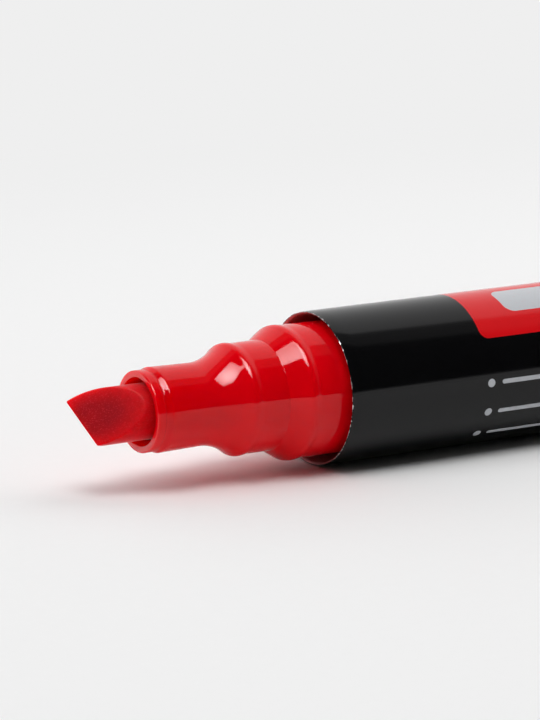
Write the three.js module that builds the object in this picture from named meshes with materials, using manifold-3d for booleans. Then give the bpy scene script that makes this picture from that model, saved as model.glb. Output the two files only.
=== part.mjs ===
// Permanent marker with an aluminium barrel and a chisel nib. It lies on a table with its cap posted on the tail.
// Millimetres, +Z up. X runs along the marker from the nib to the tail, and the origin lies on the table,
// under the middle of the barrel.
import * as THREE from "three";
import { mergeVertices } from "three/addons/utils/BufferGeometryUtils.js";
import Module from "manifold-3d";

const wasm = await Module();
wasm.setup();

// Roundness: sides of a turned piece, and steps of the arcs in its outline
const turnedSides = 40;
const nibSides = 24;
const hollowSteps = 7;
const crestSteps = 3;
const edgeSteps = 3;

// Fits: radial gaps of pressed pieces and of the sliding cap, and end gaps along the marker
const pressGap = 0.1;
const slideGap = 0.1;
const endGap = 0.3;

// Barrel tube
const barrelRadius = 8.5;
const barrelWall = 0.35;
const barrelLength = 96;

// Nib rod, and the two flats that meet in its slanted writing edge
const nibRadius = 3.05;
const nibReach = 7.22; // from the nose's lip to the edge's long end
const nibSlant = THREE.MathUtils.degToRad(14.4); // edge, measured from square
const nibWedge = THREE.MathUtils.degToRad(35.2); // half the angle between the two flats
const nibTurn = THREE.MathUtils.degToRad(-43.7); // of the edge's long end, from straight up towards -Y
const nibEdgeShift = 0.89; // edge off the rod's axis
const nibTailTaper = 3;
const nibTailRadius = 1.4;
const nibGrip = 9; // length pressed into the fibres, before the tail taper

// Recess between neck and barrel that takes the cap's skirt, alike at the nose and at the tail
const recessWidth = 0.83;
const recessDepth = 5.2;

// Nose and tail necks, from the barrel outwards. Each shoulder falls from a low crest bead to the next neck.
const beadHeight = 0.1;
const beadLength = 0.9;
const wideNeckLength = 3.9;
const wideShoulder = { slope: THREE.MathUtils.degToRad(32), crestRound: 1, hollowShare: 0 };
const sealNeckLength = 3.93;
const sealShoulder = { slope: THREE.MathUtils.degToRad(36), crestRound: 0.9, hollowShare: 0.81 };
const frontNeckLength = 5.09;
const frontNeckTaper = 0.11;
const grooveLength = 0.85; // between the front neck and the lip
const grooveSlope = 0.55; // part of it that slopes down from the neck
const grooveDepth = 0.1; // under the lip
const lipLength = 0.95;
const lipStep = 0.19;
const lipBevel = 0.2;
const noseWall = 0.82;

// Ribs that grip the nib in the nose's bore
const ribCount = 8;
const ribHeight = 0.55;
const ribThickness = 1.4;
const ribSetback = 0.3;
const ribTurn = THREE.MathUtils.degToRad(8); // of the first rib, from straight up
const ribSink = 0.3;

// Ink reservoir and the cups of nose and plug that hold its ends
const filmThickness = 0.15;
const fibreGap = 0.05;
const cupDepth = 6;
const cupWall = 1.15;
const cupFloor = 1.3;

// Tail plug's spigot
const spigotLength = 4.6;
const spigotEndRound = 0.8;
const spigotEndWall = 1.4;

// Cap shell, its seal liner and its clip
const skirtDepth = 4;
const nibClearance = 1.5;
const capWall = 1.55;
const capEndWall = 1.6;
const capEndRound = 1.6;
const capMouthBevel = 0.25;
const linerWall = 0.6;
const clipWidth = 4.6;
const clipThickness = 1.3;
const clipStandoff = 1.6;
const clipLength = 29;
const clipRootLength = 4.5;
const clipSetback = 2; // from the cap's closed end
const clipBumpHeight = 0.8;
const clipBumpLength = 3;
const clipSink = 0.5;

// Values that follow from the sizes above
const boreRadius = barrelRadius - barrelWall;
const axisHeight = barrelRadius * Math.cos(Math.PI / turnedSides);
const mouthAlong = -barrelLength / 2;
const tailAlong = barrelLength / 2;
const plugRadius = boreRadius - pressGap;
const wideNeckRadius = boreRadius - recessWidth;
const nibBoreRadius = nibRadius + pressGap + ribHeight;
const frontNeckRadius = nibBoreRadius + noseWall;
const capCavityRadius = barrelRadius - capWall;
const linerRadius = capCavityRadius - pressGap;
const linerBoreRadius = linerRadius - linerWall;
const sealNeckRadius = linerBoreRadius - slideGap - beadHeight;
const hollowRadius = sealNeckRadius - noseWall;
const cupRadius = plugRadius - cupWall;
const filmRadius = cupRadius - pressGap;
const fibreRadius = filmRadius - filmThickness - fibreGap;
const cupFloorDepth = recessDepth + cupFloor;
const wideCrest = { at: wideNeckLength, radius: wideNeckRadius + beadHeight };
const wideFoot = wideCrest.at + shoulderLength(wideCrest.radius - sealNeckRadius, wideShoulder);
const sealCrest = { at: wideFoot + sealNeckLength, radius: sealNeckRadius + beadHeight };
const sealFoot = sealCrest.at + shoulderLength(sealCrest.radius - frontNeckRadius, sealShoulder);
const frontStep = sealFoot + frontNeckLength;
const lipOut = frontStep + grooveLength + lipLength;
const nibPointOut = lipOut + nibReach;
const spigotOut = wideFoot + spigotLength;
const linerEndOut = nibPointOut + nibClearance;
const capInsideOut = linerEndOut + linerWall + endGap;
const capLength = capInsideOut + capEndWall;
const linerMouthOut = wideFoot + endGap;
const capMouthAlong = tailAlong + endGap;

// Radius of a shoulder's hollow arc, which takes the given share of the fall below the crest's arc.
function hollowRadiusOf(fall, { slope, crestRound, hollowShare }) {
  return hollowShare * (fall / (1 - Math.cos(slope)) - crestRound);
}

// Length of a shoulder from its crest to its foot.
function shoulderLength(fall, form) {
  const rounds = form.crestRound + hollowRadiusOf(fall, form);
  const straightFall = fall - rounds * (1 - Math.cos(form.slope));
  return rounds * Math.sin(form.slope) + straightFall / Math.tan(form.slope);
}

// Outline of a shoulder, from its crest down to its foot: an arc over the crest, a straight slope, and a hollow
// arc that runs out level on the neck. Points are (distance out of the barrel, radius).
function shoulder(crest, footRadius, form) {
  const { slope, crestRound } = form;
  const fall = crest.radius - footRadius;
  const hollowRound = hollowRadiusOf(fall, form);
  const footAt = crest.at + shoulderLength(fall, form);
  const points = [];
  for (let i = 0; i <= crestSteps; i++) {
    const angle = (slope * i) / crestSteps;
    const drop = crestRound * (1 - Math.cos(angle));
    points.push([crest.at + crestRound * Math.sin(angle), crest.radius - drop]);
  }
  const steps = hollowRound > 0 ? hollowSteps : 0;
  for (let i = steps; i >= 0; i--) {
    const angle = steps > 0 ? (slope * i) / steps : 0;
    const lift = hollowRound * (1 - Math.cos(angle));
    points.push([footAt - hollowRound * Math.sin(angle), footRadius + lift]);
  }
  return points;
}

// Outline of the bead behind a crest: half a cosine wave from the neck up to the crest, without the crest.
function beadBehind(crest) {
  const points = [];
  for (let i = 0; i < edgeSteps; i++) {
    const share = i / edgeSteps;
    const lift = (beadHeight * (1 - Math.cos(Math.PI * share))) / 2;
    points.push([crest.at - beadLength * (1 - share), crest.radius - beadHeight + lift]);
  }
  return points;
}

// Quarter-round corner of an outline, from the side of a cylinder of the given radius onto its end face.
function roundedEnd(endAt, radius, round) {
  const points = [];
  for (let i = 0; i <= edgeSteps; i++) {
    const angle = (Math.PI / 2) * (i / edgeSteps);
    points.push([endAt - round * (1 - Math.sin(angle)), radius - round * (1 - Math.cos(angle))]);
  }
  return points;
}

// Wide neck and seal neck, from the bottom of the recess outwards. The nose and the tail share them.
function sealingNecks() {
  return [
    [-recessDepth, wideNeckRadius],
    ...beadBehind(wideCrest),
    ...shoulder(wideCrest, sealNeckRadius, wideShoulder),
  ];
}

// Plug in the barrel and its cup for the reservoir, from the cup's floor round to the recess.
function pluggedCup() {
  return [
    [-cupFloorDepth, hollowRadius],
    [-cupFloorDepth, cupRadius],
    [-cupFloorDepth - cupDepth, cupRadius],
    [-cupFloorDepth - cupDepth, plugRadius],
    [-recessDepth, plugRadius],
  ];
}

// Turns an outline of (distance, radius) points round the X axis. The outline closes on itself or on the axis.
// direction is 1 where distance runs along +X and -1 where it runs along -X.
function turned(outline, originAlong, direction, sides = turnedSides) {
  const points = outline.map(([distance, radius]) => {
    return new THREE.Vector2(radius, originAlong + direction * distance);
  });
  if (THREE.ShapeUtils.isClockWise(points)) points.reverse();
  const geometry = new THREE.LatheGeometry(points, sides, Math.PI / sides);
  geometry.rotateZ(-Math.PI / 2);
  return geometry;
}

// Repeats the first point of a ring's outline at its end.
function ring(outline) {
  return [...outline, outline[0]];
}

// Solid of a closed geometry, for joining and cutting.
function solidOf(geometry) {
  const bare = geometry.clone();
  bare.deleteAttribute("normal");
  bare.deleteAttribute("uv");
  const merged = mergeVertices(bare);
  return new wasm.Manifold(
    new wasm.Mesh({
      numProp: 3,
      vertProperties: new Float32Array(merged.attributes.position.array),
      triVerts: new Uint32Array(merged.index.array),
    }),
  );
}

// Geometry of a solid, with flat facets.
function geometryOf(solid) {
  const mesh = solid.getMesh();
  const geometry = new THREE.BufferGeometry();
  geometry.setAttribute("position", new THREE.BufferAttribute(new Float32Array(mesh.vertProperties), 3));
  geometry.setIndex(new THREE.BufferAttribute(new Uint32Array(mesh.triVerts), 1));
  geometry.computeVertexNormals();
  return geometry;
}

// Block that removes everything beyond a plane: it starts at the point and reaches out along the normal.
function cuttingBlock(point, along, normal, size) {
  const across = new THREE.Vector3().crossVectors(normal, along);
  const centre = point.clone().addScaledVector(normal, size / 2);
  const block = new THREE.BoxGeometry(size, size, size);
  block.applyMatrix4(new THREE.Matrix4().makeBasis(along, across, normal).setPosition(centre));
  return solidOf(block);
}

// Named piece of the marker with its own material.
function piece(name, geometry, color, roughness, metalness) {
  const mesh = new THREE.Mesh(geometry, new THREE.MeshStandardMaterial({ color, roughness, metalness }));
  mesh.name = name;
  return mesh;
}

function barrelTube() {
  const outline = ring([
    [0, boreRadius],
    [0, barrelRadius],
    [barrelLength, barrelRadius],
    [barrelLength, boreRadius],
  ]);
  return piece("barrel_tube", turned(outline, mouthAlong, 1), 0x17181a, 0.2, 0.6);
}

function noseSection() {
  const boreEndOut = sealCrest.at - noseWall;
  const hollowStartOut = boreEndOut - (hollowRadius - nibBoreRadius);
  const lipRadius = frontNeckRadius + frontNeckTaper - lipStep;
  const outline = ring([
    ...pluggedCup(),
    ...sealingNecks(),
    ...beadBehind(sealCrest),
    ...shoulder(sealCrest, frontNeckRadius, sealShoulder),
    [frontStep, frontNeckRadius + frontNeckTaper],
    [frontStep + grooveSlope, lipRadius - grooveDepth],
    [frontStep + grooveLength - grooveDepth, lipRadius - grooveDepth],
    [frontStep + grooveLength, lipRadius],
    [lipOut - lipBevel, lipRadius],
    [lipOut, lipRadius - lipBevel],
    [lipOut, nibBoreRadius],
    [boreEndOut, nibBoreRadius],
    [hollowStartOut, hollowRadius],
  ]);
  let body = solidOf(turned(outline, mouthAlong, -1));
  const ribLength = lipOut - ribSetback - boreEndOut;
  const ribCentre = mouthAlong - boreEndOut - ribLength / 2;
  for (let i = 0; i < ribCount; i++) {
    const rib = new THREE.BoxGeometry(ribLength, ribThickness, ribHeight + ribSink);
    rib.translate(ribCentre, 0, nibRadius + pressGap + (ribHeight + ribSink) / 2);
    rib.rotateX((2 * Math.PI * i) / ribCount - ribTurn);
    body = body.add(solidOf(rib));
  }
  return piece("nose_section", geometryOf(body), 0xd00814, 0.25, 0);
}

function nib() {
  const pointAlong = mouthAlong - nibPointOut;
  const gripEnd = mouthAlong + cupFloorDepth + endGap + nibGrip - pointAlong;
  const rod = turned(
    [
      [0, 0],
      [0, nibRadius],
      [gripEnd, nibRadius],
      [gripEnd + nibTailTaper, nibTailRadius],
      [gripEnd + nibTailTaper, 0],
    ],
    pointAlong,
    1,
    nibSides,
  );
  let body = solidOf(rod);
  const pointHeight = Math.sqrt(nibRadius ** 2 - nibEdgeShift ** 2);
  const point = new THREE.Vector3(pointAlong, nibEdgeShift, pointHeight);
  const edge = new THREE.Vector3(Math.sin(nibSlant), 0, -Math.cos(nibSlant));
  const intoRod = new THREE.Vector3(Math.cos(nibSlant), 0, Math.sin(nibSlant));
  const blockSize = 4 * (nibRadius + nibReach);
  for (const side of [-1, 1]) {
    const normal = new THREE.Vector3(0, side * Math.cos(nibWedge), 0);
    normal.addScaledVector(intoRod, -Math.sin(nibWedge));
    body = body.subtract(cuttingBlock(point, edge, normal, blockSize));
  }
  const geometry = geometryOf(body);
  geometry.rotateX(nibTurn);
  return piece("nib", geometry, 0xb40f1c, 0.95, 0);
}

function reservoirCore() {
  const length = barrelLength - 2 * (cupFloorDepth + endGap);
  const socketRadius = nibRadius + fibreGap;
  const outline = [
    [nibGrip + nibTailTaper + endGap, 0],
    [nibGrip + nibTailTaper + endGap, nibTailRadius + fibreGap],
    [nibGrip + endGap, socketRadius],
    [0, socketRadius],
    [0, fibreRadius],
    [length, fibreRadius],
    [length, 0],
  ];
  const geometry = turned(outline, mouthAlong + cupFloorDepth + endGap, 1);
  return piece("reservoir_core", geometry, 0xc21a26, 1, 0);
}

function reservoirFilm() {
  const length = barrelLength - 2 * (cupFloorDepth + endGap);
  const outline = ring([
    [0, filmRadius - filmThickness],
    [0, filmRadius],
    [length, filmRadius],
    [length, filmRadius - filmThickness],
  ]);
  const geometry = turned(outline, mouthAlong + cupFloorDepth + endGap, 1);
  return piece("reservoir_film", geometry, 0xe6e6e6, 0.4, 0);
}

function tailPlug() {
  const outline = [
    [spigotOut - spigotEndWall, 0],
    [spigotOut - spigotEndWall, hollowRadius],
    ...pluggedCup(),
    ...sealingNecks(),
    ...roundedEnd(spigotOut, sealNeckRadius, spigotEndRound),
    [spigotOut, 0],
  ];
  return piece("tail_plug", turned(outline, tailAlong, 1), 0xd00814, 0.25, 0);
}

// Clip of the cap, moulded in one piece with it: a root on the shell, a blade that runs back along the cap,
// and a bump under the blade's free end. It stands up along +Z from the shell.
function clipSolid() {
  const endAlong = capMouthAlong + capLength - clipSetback;
  const bladeBottom = barrelRadius + clipStandoff;
  const blade = new THREE.BoxGeometry(clipLength, clipWidth, clipThickness);
  blade.translate(endAlong - clipLength / 2, 0, bladeBottom + clipThickness / 2);
  const rootBottom = barrelRadius - clipSink;
  const rootHeight = bladeBottom + clipThickness - rootBottom;
  const root = new THREE.BoxGeometry(clipRootLength, clipWidth, rootHeight);
  root.translate(endAlong - clipRootLength / 2, 0, rootBottom + rootHeight / 2);
  const bumpHeight = clipBumpHeight + clipThickness;
  const bump = new THREE.BoxGeometry(clipBumpLength, clipWidth, bumpHeight);
  bump.translate(endAlong - clipLength + clipBumpLength / 2, 0, bladeBottom + clipThickness - bumpHeight / 2);
  return solidOf(blade).add(solidOf(root)).add(solidOf(bump));
}

// Angle by which the clip leans from straight up until its lower edge lies on the table.
function clipLean() {
  const top = barrelRadius + clipStandoff + clipThickness;
  const edgeReach = Math.hypot(top, clipWidth / 2);
  const edgeAngle = Math.atan2(clipWidth / 2, top);
  return Math.PI - edgeAngle - Math.acos(axisHeight / edgeReach);
}

function capShell() {
  const skirtRadius = boreRadius - slideGap;
  const skirtBoreRadius = wideCrest.radius + slideGap;
  const outline = [
    [capInsideOut, 0],
    [capInsideOut, capCavityRadius],
    [linerMouthOut, capCavityRadius],
    [linerMouthOut, skirtBoreRadius],
    [-skirtDepth, skirtBoreRadius],
    [-skirtDepth, skirtRadius],
    [0, skirtRadius],
    [0, barrelRadius - capMouthBevel],
    [capMouthBevel, barrelRadius],
    ...roundedEnd(capLength, barrelRadius, capEndRound),
    [capLength, 0],
  ];
  const shell = solidOf(turned(outline, capMouthAlong, 1));
  const clip = geometryOf(clipSolid());
  clip.rotateX(clipLean());
  return piece("cap_shell", geometryOf(shell.add(solidOf(clip))), 0xc80a16, 0.25, 0);
}

function capLiner() {
  const outline = [
    [linerEndOut, 0],
    [linerEndOut, linerBoreRadius],
    [linerMouthOut, linerBoreRadius],
    [linerMouthOut, linerRadius],
    [linerEndOut + linerWall, linerRadius],
    [linerEndOut + linerWall, 0],
  ];
  return piece("cap_liner", turned(outline, capMouthAlong, 1), 0xdedede, 0.5, 0);
}

const marker = new THREE.Group();
marker.position.set(0, 0, axisHeight);
marker.add(barrelTube(), noseSection(), nib(), reservoirCore(), reservoirFilm(), tailPlug());
const cap = new THREE.Group();
cap.add(capShell(), capLiner());
marker.add(cap);

export default marker;
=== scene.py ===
import math

import bpy
import numpy as np
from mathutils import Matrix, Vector


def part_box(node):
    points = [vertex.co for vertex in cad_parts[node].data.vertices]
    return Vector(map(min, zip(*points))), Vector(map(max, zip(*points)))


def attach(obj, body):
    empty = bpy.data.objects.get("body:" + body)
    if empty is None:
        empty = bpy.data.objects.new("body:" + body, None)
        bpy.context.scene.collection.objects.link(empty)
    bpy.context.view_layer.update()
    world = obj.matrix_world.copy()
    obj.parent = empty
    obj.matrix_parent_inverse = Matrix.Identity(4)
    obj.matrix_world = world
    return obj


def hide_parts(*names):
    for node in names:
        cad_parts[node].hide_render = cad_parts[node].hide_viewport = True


# Uncapped permanent marker on a table, nib to the left, cap posted on its tail.
# Shapes are worked out in millimetres and put into the meshes in metres.
# X runs along the marker towards the tail, -Y is the camera's side and Z is up.

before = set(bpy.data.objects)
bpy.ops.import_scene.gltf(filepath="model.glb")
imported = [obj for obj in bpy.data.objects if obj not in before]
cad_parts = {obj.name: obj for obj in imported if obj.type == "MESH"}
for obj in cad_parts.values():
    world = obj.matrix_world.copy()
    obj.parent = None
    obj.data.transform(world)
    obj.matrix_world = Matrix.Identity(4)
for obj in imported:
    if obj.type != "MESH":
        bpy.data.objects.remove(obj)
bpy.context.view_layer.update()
mm = 0.001
tiny = 1e-9  # keeps a division finite

barrelLow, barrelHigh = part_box("barrel_tube")
mouth = barrelLow.x / mm  # open end of the barrel, where the nose comes out
tail = barrelHigh.x / mm
axisHeight = (barrelLow.z + barrelHigh.z) / 2 / mm
barrelRadius = axisHeight  # the barrel rests on the table
print("frame loaded")


# Shapes

def addObject(name, data):
    added = bpy.data.objects.new(name, data)
    bpy.context.scene.collection.objects.link(added)
    return added


def surfaceObject(name, points, quads, triangles, body, material):
    # A mesh from its points in mm and its four-sided and three-sided faces, with its material. A piece of the
    # marker also rides on a body, and the stage's pieces don't.
    mesh = bpy.data.meshes.new(name)
    corners = np.concatenate([quads.ravel(), triangles.ravel()]).astype(np.int32)
    sizes = np.concatenate([np.full(len(quads), 4), np.full(len(triangles), 3)])
    starts = np.concatenate([[0], np.cumsum(sizes)[:-1]]).astype(np.int32)
    mesh.vertices.add(len(points))
    mesh.vertices.foreach_set("co", (points * mm).astype(np.float32).ravel())
    mesh.loops.add(len(corners))
    mesh.loops.foreach_set("vertex_index", corners)
    mesh.polygons.add(len(sizes))
    mesh.polygons.foreach_set("loop_start", starts)
    mesh.polygons.foreach_set("use_smooth", np.ones(len(sizes), dtype=bool))
    mesh.update(calc_edges=True)
    mesh.validate()
    mesh.materials.append(material)
    piece = addObject(name, mesh)
    if body:
        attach(piece, body)
    return piece


def gridFaces(rows, columns, ring):
    # Faces of a grid whose columns close on themselves. As a ring its rows close too. Otherwise a pole,
    # numbered after the grid's points, closes each end.
    index = np.arange(rows * columns).reshape(rows, columns)
    beside = np.roll(index, -1, axis=1)
    if ring:
        near, far = index, np.roll(index, -1, axis=0)
        nearBeside, farBeside = beside, np.roll(beside, -1, axis=0)
    else:
        near, far = index[:-1], index[1:]
        nearBeside, farBeside = beside[:-1], beside[1:]
    quads = np.stack([near, far, farBeside, nearBeside], axis=-1).reshape(-1, 4)
    if ring:
        return quads, np.zeros((0, 3), dtype=int)
    first = np.full(columns, rows * columns)
    last = first + 1
    startFan = np.stack([first, index[0], beside[0]], axis=-1)
    endFan = np.stack([last, beside[-1], index[-1]], axis=-1)
    return quads, np.vstack([startFan, endFan])


def aroundAxis(along, radius, angle):
    # Point at a radius and an angle round the marker's axis. The angle grows from straight up
    # towards the camera's side: y = -radius sin(angle), z = axis height + radius cos(angle).
    along, radius, angle = np.broadcast_arrays(along, radius, angle)
    return np.stack([along, -radius * np.sin(angle), axisHeight + radius * np.cos(angle)], axis=-1)


def counterclockwise(outline):
    # Turns an (along, radius) outline so that the faces made from it point outwards.
    after = np.roll(outline, -1, axis=0)
    area = np.sum(outline[:, 0] * after[:, 1] - after[:, 0] * outline[:, 1])
    return outline if area > 0 else outline[::-1]


def softCorners(corners, rounds, steps=7):
    # Rounds the corners of a closed outline. At a corner with half angle h the arc of radius q starts and
    # ends q / tan(h) from the corner, and its points turn evenly about the arc's centre. A round of 0 keeps
    # the point.
    smallestTurn = 1e-6
    corners, rounds = np.asarray(corners, float), np.asarray(rounds, float)
    back = np.roll(corners, 1, axis=0) - corners
    on = np.roll(corners, -1, axis=0) - corners
    back /= np.linalg.norm(back, axis=1, keepdims=True)
    on /= np.linalg.norm(on, axis=1, keepdims=True)
    half = np.arccos(np.clip(np.sum(back * on, axis=1), -1, 1)) / 2
    middle = back + on
    size = np.maximum(np.linalg.norm(middle, axis=1, keepdims=True), tiny)
    centre = corners + middle / size * (rounds / np.sin(half))[:, None]
    reach = (rounds / np.tan(half))[:, None]
    start = corners + back * reach - centre
    end = corners + on * reach - centre
    turn = np.maximum(math.pi - 2 * half, smallestTurn)[:, None, None]
    share = np.linspace(0, 1, steps)[None, :, None]
    arc = np.sin((1 - share) * turn) * start[:, None] + np.sin(share * turn) * end[:, None]
    arc = centre[:, None] + arc / np.sin(turn)
    kept = (rounds[:, None] > 0) | (np.arange(steps)[None, :] == 0)
    rounded = rounds[:, None, None] > 0
    return np.where(rounded, arc, corners[:, None])[kept]


def heldRuns(outline, longest, ring=True):
    # Adds points to the long straight runs of an outline: one at the distance hold from each end, which
    # keeps the shading of the rounded corners in place, and evenly spaced ones, fewer than most, where a
    # run is over longest.
    hold, most = 0.04, 40
    closed = np.vstack([outline, outline[:1]]) if ring else outline
    step = np.linalg.norm(np.diff(closed, axis=0), axis=1)
    at = np.concatenate([[0], np.cumsum(step)])
    long = step > 4 * hold
    between = np.arange(1, most)[None, :] / most
    count = np.ceil(step / longest)[:, None]
    even = at[:-1, None] + step[:, None] * np.round(between * count) / count
    stations = np.concatenate([at, at[:-1][long] + hold, at[1:][long] - hold, even[step > longest].ravel()])
    stations = np.unique(np.round(stations, 5))
    stations = stations[stations < at[-1] - 1e-4] if ring else stations
    return np.column_stack([np.interp(stations, at, closed[:, 0]), np.interp(stations, at, closed[:, 1])])


def turnedRing(name, outline, sides, body, material, relief=None):
    # A closed outline turned round the axis. relief gives a change of radius from the grids of the distance
    # along, the radius and the angle.
    outline = counterclockwise(outline)
    angle = 2 * math.pi * np.arange(sides) / sides
    radius = outline[:, 1:] + np.zeros(sides)
    if relief is not None:
        radius = radius + relief(outline[:, :1], outline[:, 1:], angle[None, :])
    points = aroundAxis(outline[:, :1], radius, angle[None, :]).reshape(-1, 3)
    quads, triangles = gridFaces(len(outline), sides, ring=True)
    return surfaceObject(name, points, quads, triangles, body, material)


def turnedSolid(name, outline, sides, body, material):
    # An outline that starts and ends on the axis, turned round it, with a pole at each end.
    outline = counterclockwise(outline)
    angle = 2 * math.pi * np.arange(sides) / sides
    grid = aroundAxis(outline[1:-1, :1], outline[1:-1, 1:], angle[None, :]).reshape(-1, 3)
    poles = aroundAxis(outline[[0, -1], 0], 0.0, 0.0)
    quads, triangles = gridFaces(len(outline) - 2, sides, ring=False)
    return surfaceObject(name, np.vstack([grid, poles]), quads, triangles, body, material)


def smoothRise(value, low, high):
    # Eased step: 0 below low, 1 above high, 3t^2 - 2t^3 between them.
    share = np.clip((value - low) / (high - low), 0, 1)
    return share * share * (3 - 2 * share)


# Materials

def feedNode(tree, node, inputs):
    # Links an input to a node's output, or sets a plain value on it.
    for key, value in inputs.items():
        if isinstance(value, bpy.types.NodeSocket):
            tree.links.new(value, node.inputs[key])
        else:
            node.inputs[key].default_value = value


def addNode(tree, kind, inputs=None, **settings):
    node = tree.nodes.new(kind)
    for name, value in settings.items():
        setattr(node, name, value)
    feedNode(tree, node, inputs or {})
    return node


def newMaterial(name):
    material = bpy.data.materials.new(name)
    material.use_nodes = True
    tree = material.node_tree
    where = addNode(tree, "ShaderNodeTexCoord").outputs["Object"]
    return material, tree, tree.nodes["Principled BSDF"], where


def calculate(tree, operation, first, second=0.0):
    node = addNode(tree, "ShaderNodeMath", {0: first, 1: second}, operation=operation)
    return node.outputs[0]


def calculateVectors(tree, operation, first, second=(0, 0, 0), result="Value"):
    node = addNode(tree, "ShaderNodeVectorMath", {0: first, 1: second}, operation=operation)
    return node.outputs[result]


def mixColours(tree, share, first, second):
    inputs = {0: share, 6: first, 7: second}
    return addNode(tree, "ShaderNodeMix", inputs, data_type="RGBA").outputs[2]


def ramp(tree, value, low, high, fromValue=0.0, toValue=1.0):
    # Eased change from one value to another while the input goes from low to high.
    inputs = {"Value": value, "From Min": low, "From Max": high, "To Min": fromValue, "To Max": toValue}
    return addNode(tree, "ShaderNodeMapRange", inputs, interpolation_type="SMOOTHSTEP").outputs["Result"]


def noiseAt(tree, coordinates, scale, detail=3.0, roughness=0.5):
    # Its values lie mostly between 0.3 and 0.7, so that is where the ramps on it are set.
    inputs = {"Vector": coordinates, "Scale": scale, "Detail": detail, "Roughness": roughness}
    return addNode(tree, "ShaderNodeTexNoise", inputs).outputs["Fac"]


def stretched(tree, coordinates, scale):
    # Coordinates scaled differently along the three axes, for grain that runs one way.
    return addNode(tree, "ShaderNodeMapping", {"Vector": coordinates, "Scale": scale}).outputs[0]


def addBump(tree, shader, height, strength, depth):
    bump = addNode(tree, "ShaderNodeBump", {"Height": height, "Strength": strength, "Distance": depth})
    tree.links.new(bump.outputs[0], shader.inputs["Normal"])


def placeRoundAxis(tree, place):
    # Distance across towards the camera's side, height over the axis and distance from the axis, in mm.
    across = calculate(tree, "MULTIPLY", place["Y"], -1 / mm)
    rise = calculate(tree, "MULTIPLY", calculate(tree, "SUBTRACT", place["Z"], axisHeight * mm), 1 / mm)
    squares = [calculate(tree, "POWER", value, 2.0) for value in (across, rise)]
    return across, rise, calculate(tree, "SQRT", calculate(tree, "ADD", squares[0], squares[1]))


mouldedLook = {
    "colour": (0.84, 0.0006, 0.006, 1),
    "deepColour": (0.80, 0.0004, 0.005, 1),
    "colourScale": 130.0,
    "roughness": (0.035, 0.065),
    "roughnessScale": 900.0,
    "specularLevel": 0.32,
    "refraction": 1.45,
    "waviness": 0.06,
    "wavinessScale": 420.0,
    "wavinessDepth": 0.00002,
    "glow": 0.2,
    "glowDepth": 0.0024,
    "glowRadius": (1.0, 0.05, 0.05),
    "endSpecular": 0.9,  # the lip's end face is the glossiest
    "endFace": (0.02, 0.14),  # its gloss fades out between these distances from it, in mm
    "endGlow": 1.0,  # light comes through the thin wall of the lip
    "thinRun": (1.5, 9.0),  # and the extra light fades out between these
}


def mouldedPlastic(name, look, endAt=None):
    # Polished moulded plastic: slow changes of colour and gloss, and the faint waviness of a moulded skin.
    # Where endAt is given, the face there across the axis is glossier, and light comes through the thin wall.
    material, tree, shader, where = newMaterial(name)
    slow = noiseAt(tree, where, look["colourScale"], 2.0)
    fine = noiseAt(tree, stretched(tree, where, (1.0, 2.2, 2.2)), look["roughnessScale"])
    skin = noiseAt(tree, where, look["wavinessScale"], 2.0)
    addBump(tree, shader, skin, look["waviness"], look["wavinessDepth"])
    feedNode(tree, shader, {
        "Base Color": mixColours(tree, ramp(tree, slow, 0.35, 0.65), look["colour"], look["deepColour"]),
        "Roughness": ramp(tree, fine, 0.3, 0.7, *look["roughness"]),
        "IOR": look["refraction"],
        "Specular IOR Level": look["specularLevel"],
        "Subsurface Weight": look["glow"],
        "Subsurface Radius": look["glowRadius"],
        "Subsurface Scale": look["glowDepth"],
    })
    if endAt is not None:
        along = addNode(tree, "ShaderNodeSeparateXYZ", {0: where}).outputs["X"]
        face, thin = [[(endAt + distance) * mm for distance in look[key]] for key in ("endFace", "thinRun")]
        feedNode(tree, shader, {
            "Specular IOR Level": ramp(tree, along, *face, look["endSpecular"], look["specularLevel"]),
            "Subsurface Weight": ramp(tree, along, *thin, look["endGlow"], look["glow"]),
        })
    return material


feltLook = {
    "wetColour": (0.66, 0.0006, 0.005, 1),
    "dryColour": (0.76, 0.0012, 0.008, 1),
    "mottleScale": 1500.0,
    "roughness": (0.36, 0.46),
    "specularLevel": 0.05,
    "cutInkAndShadeColour": (0.40, 0.0006, 0.007, 1),  # of the cut flats, dark partly with ink and partly with painted shade
    "cutDepth": 1.1,  # their dark colour fades out this deep below them, in mm,
    "rimWidth": 2.0,  # and over this width towards the rod's side
    "cutUnevenScale": 700.0,
    "fleckColour": (0.76, 0.035, 0.05, 1),
    "fleckScale": 8500.0,
    "fleckShare": 0.5,
    "grain": 0.25,
    "grainScale": 5200.0,
    "grainDepth": 0.00004,
    "fuzz": 0.8,
    "fuzzRoughness": 0.35,
    "fuzzColour": (1.0, 0.45, 0.47, 1),
    "glowRadius": (1.0, 0.04, 0.05),
    "glowDepth": 0.0016,
}


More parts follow.
